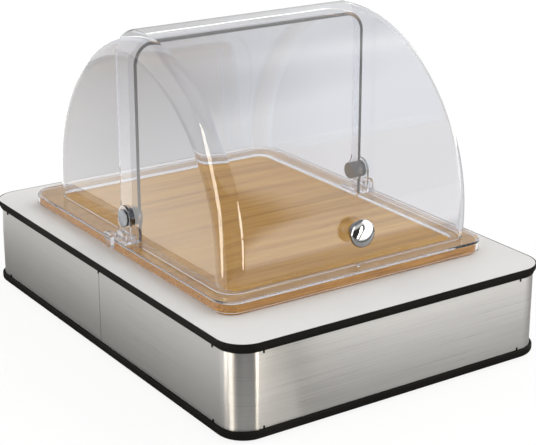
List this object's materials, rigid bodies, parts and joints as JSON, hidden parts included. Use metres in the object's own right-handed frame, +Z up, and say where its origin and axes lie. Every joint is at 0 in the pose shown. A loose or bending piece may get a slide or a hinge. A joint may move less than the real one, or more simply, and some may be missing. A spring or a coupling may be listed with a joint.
{
  "type": "countertop bread display bin",
  "caption": "Tabletop bread display: steel-sided base with a white top, wooden cutting board and a clear roll-top cover that turns back on side pivots.",
  "frame": {"origin": "on the counter, under the middle of the base", "axes": "+Z up, +X to the right along the front side, -Y towards the front side with the knob"},
  "size_m": [0.322, 0.44, 0.2797],
  "materials": {
    "black_trim": "satin moulded",
    "floor_panel": "matte sheet",
    "foot_rubber": "matte",
    "steel": "brushed upright",
    "post_plastic": "moulded",
    "screw_steel": "plated",
    "white_plate": "satin laminate",
    "board_wood": "oiled hardwood",
    "clear_plastic": "clear polished",
    "polished_metal": "polished",
    "washer_nylon": "translucent nylon",
    "washer_black": "black nylon"
  },
  "bodies": {
    "base": {"bottom_trim": "black_trim", "base_panel": "floor_panel", "rubber_feet": "foot_rubber", "steel_band": "steel", "band_splice": "steel", "top_trim": "black_trim", "corner_posts": "post_plastic", "trim_screws": "screw_steel", "base_screws": "screw_steel", "top_plate": "white_plate"},
    "board": {"cutting_board": "board_wood"},
    "cover": {"cover_rim": "clear_plastic", "rear_shell": "clear_plastic", "left_bracket": "clear_plastic", "left_pivot_pin": "polished_metal", "left_inner_cap": "polished_metal", "left_outer_cap": "polished_metal", "left_spacer": "polished_metal", "left_pivot_washer": "washer_black", "right_bracket": "clear_plastic", "right_pivot_pin": "polished_metal", "right_inner_cap": "polished_metal", "right_outer_cap": "polished_metal", "right_spacer": "polished_metal", "right_pivot_washer": "washer_black"},
    "lid": {"front_shell": "clear_plastic", "knob": "polished_metal", "knob_screw": "screw_steel", "knob_washer": "washer_nylon"}
  },
  "joints": [
    {"name": "board_lift", "type": "slide", "parent": "base", "child": "board", "axis": [0, 0, 1], "range_m": [0, 0.1]},
    {"name": "cover_lift", "type": "slide", "parent": "board", "child": "cover", "axis": [0, 0, 1], "range_m": [0, 0.12]},
    {"name": "lid_roll", "type": "hinge", "parent": "cover", "child": "lid", "pos_m": [0, 0.00475, 0.1169], "axis": [-1, 0, 0], "range_deg": [0, 93]}
  ]
}
